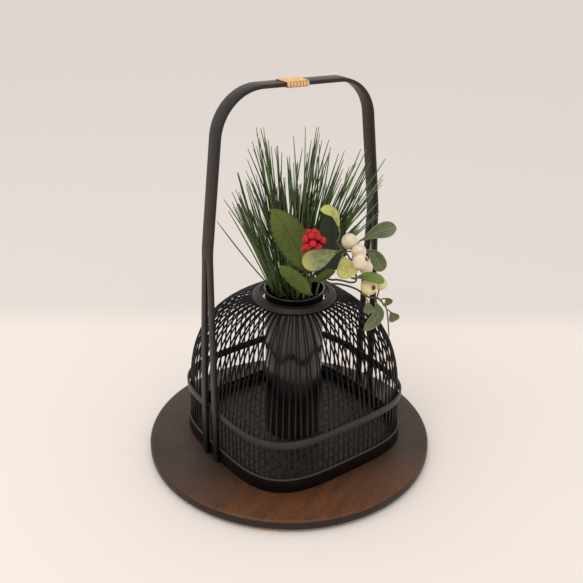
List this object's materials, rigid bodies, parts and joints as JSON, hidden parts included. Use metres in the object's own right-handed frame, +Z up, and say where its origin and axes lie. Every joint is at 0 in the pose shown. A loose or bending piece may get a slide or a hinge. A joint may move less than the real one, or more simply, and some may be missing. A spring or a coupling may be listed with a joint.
{
  "type": "handled bamboo flower basket",
  "caption": "Dome-shaped cage basket of thin black bamboo ribs with a tall strip handle, on a round wooden board, with a water tube that holds an artificial winter arrangement.",
  "frame": {"origin": "middle of the round board, on the surface that its battens stand on", "axes": "+Z up; X runs along the basket's handle from its left leg to its right one; +Y points away from the side that the arrangement faces"},
  "size_m": [0.3, 0.3, 0.3969],
  "materials": {
    "board_wood": "dark brown wiped lacquer over wood, satin",
    "bare_wood": "bare wood",
    "black_bamboo": "black lacquered bamboo, satin",
    "rattan": "natural rattan cane, satin",
    "tube_plastic": "black gloss",
    "pine": "moulded green plastic",
    "leaf": "printed green fabric",
    "dark_leaf": "printed dark green fabric",
    "pale_leaf": "printed pale green fabric",
    "twig": "moulded green-brown plastic",
    "red_berry": "red gloss",
    "white_berry": "ivory satin"
  },
  "bodies": {
    "board": {"display_board": "board_wood", "board_batten_left": "bare_wood", "board_batten_right": "bare_wood"},
    "basket": {"base_hoop_outer": "black_bamboo", "base_hoop_inner": "black_bamboo", "belt_hoop": "black_bamboo", "plaited_floor": "black_bamboo", "rib_cage": "black_bamboo", "neck_liner_hoop": "black_bamboo", "handle_arch": "black_bamboo", "handle_peg_left_front": "black_bamboo", "handle_peg_left_back": "black_bamboo", "handle_peg_right_front": "black_bamboo", "handle_peg_right_back": "black_bamboo", "rattan_wrap": "rattan"},
    "water_tube": {"water_tube": "tube_plastic"},
    "arrangement": {"pine_sprig_far_left": "pine", "pine_sprig_left": "pine", "pine_sprig_middle": "pine", "pine_sprig_right": "pine", "pine_sprig_far_right": "pine", "serrated_leaf_large": "leaf", "serrated_leaf_low": "leaf", "serrated_leaf_right": "leaf", "serrated_leaf_back": "dark_leaf", "red_berry_cluster": "red_berry", "upper_berry_twig": "twig", "lower_berry_twig": "twig", "white_berry_upper_left": "white_berry", "white_berry_upper_middle": "white_berry", "white_berry_upper_front": "white_berry", "white_berry_upper_low": "white_berry", "white_berry_lower_front": "white_berry", "white_berry_lower_back": "white_berry", "variegated_leaf": "pale_leaf", "yellow_green_leaf": "pale_leaf", "curled_leaf": "pale_leaf", "upper_right_leaf": "pale_leaf", "right_leaf": "pale_leaf", "green_side_leaf": "pale_leaf", "hanging_leaf": "pale_leaf", "curved_leaf": "pale_leaf", "small_dark_leaf": "pale_leaf", "fan_leaf": "pale_leaf"}
  },
  "joints": [
    {"name": "basket_lift", "type": "slide", "parent": "board", "child": "basket", "axis": [0, 0, 1], "range_m": [0, 0.06]},
    {"name": "water_tube_lift", "type": "slide", "parent": "basket", "child": "water_tube", "axis": [0, 0, 1], "range_m": [0, 0.016]},
    {"name": "arrangement_lift", "type": "slide", "parent": "water_tube", "child": "arrangement", "axis": [0, 0, 1], "range_m": [0, 0.016]}
  ]
}
